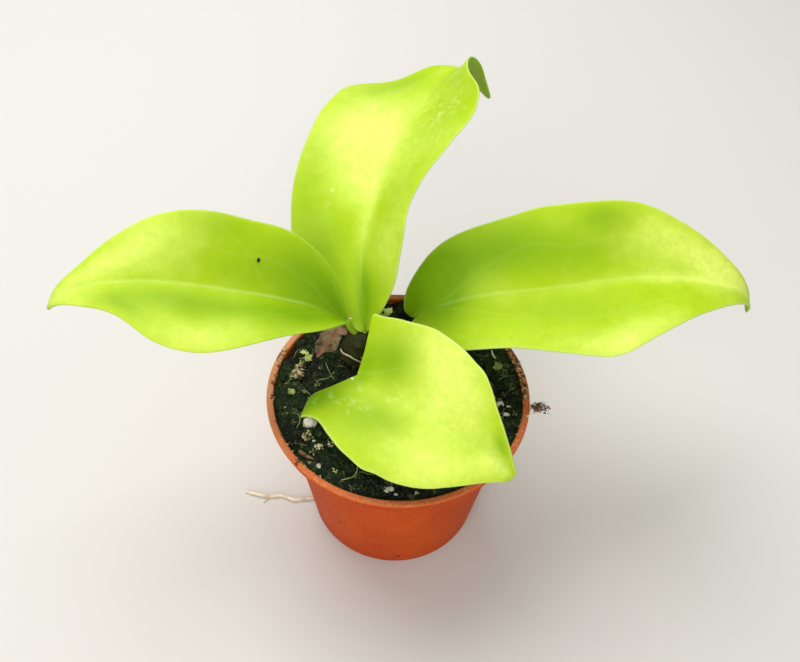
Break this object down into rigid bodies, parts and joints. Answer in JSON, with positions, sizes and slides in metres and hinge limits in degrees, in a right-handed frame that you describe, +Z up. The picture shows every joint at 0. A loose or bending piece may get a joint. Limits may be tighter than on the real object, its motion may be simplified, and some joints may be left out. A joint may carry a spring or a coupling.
{
  "type": "potted hoya plant",
  "caption": "Young hoya cutting with broad waxy lime-green leaves on a short stem, rooted in dark soil in a small tapered plastic nursery pot.",
  "frame": {"origin": "middle of the pot's underside, on the surface that the pot stands on", "axes": "+Z up; +X along the right leaf, -X along the left leaf; seen from -Y, with the tallest leaf at the back on +Y"},
  "size_m": [0.1422, 0.0958, 0.084],
  "materials": {
    "pot": "injection-moulded polypropylene, satin",
    "soil": "damp peat and moss, crumbly",
    "stem": "woody stem, matt",
    "root": "pale root, matt",
    "dry_root": "dry rootlet and peat tuft, matt",
    "leaf": "fleshy leaf with a waxy skin, satin",
    "young_shoot": "young shoot with a soft bloom",
    "dry_leaf": "withered leaf, papery",
    "perlite": "expanded volcanic glass, matt and porous",
    "bark": "bark and twig, matt",
    "vermiculite": "expanded mica flake, matt",
    "moss": "moss tuft, fibrous"
  },
  "bodies": {
    "root": {"pot": "pot", "soil": "soil", "stem": "stem", "roots": "root", "leaf_left": "leaf", "leaf_right": "leaf", "leaf_back": "leaf", "leaf_front": "leaf", "growing_tip": "young_shoot", "withered_leaf": "dry_leaf", "aerial_root": "root", "rim_root_tuft": "dry_root", "perlite_ball": "perlite", "perlite_front_left": "perlite", "perlite_front": "perlite", "perlite_right": "perlite", "perlite_grain_right": "perlite", "bark_clump": "bark", "bark_crumb": "bark", "vermiculite_left": "vermiculite", "vermiculite_front": "vermiculite", "moss_tuft_left": "moss", "moss_flake_left": "moss", "moss_tuft_right": "moss", "twig": "bark", "rootlet_front": "root", "rootlet_right": "root"}
  },
  "joints": []
}
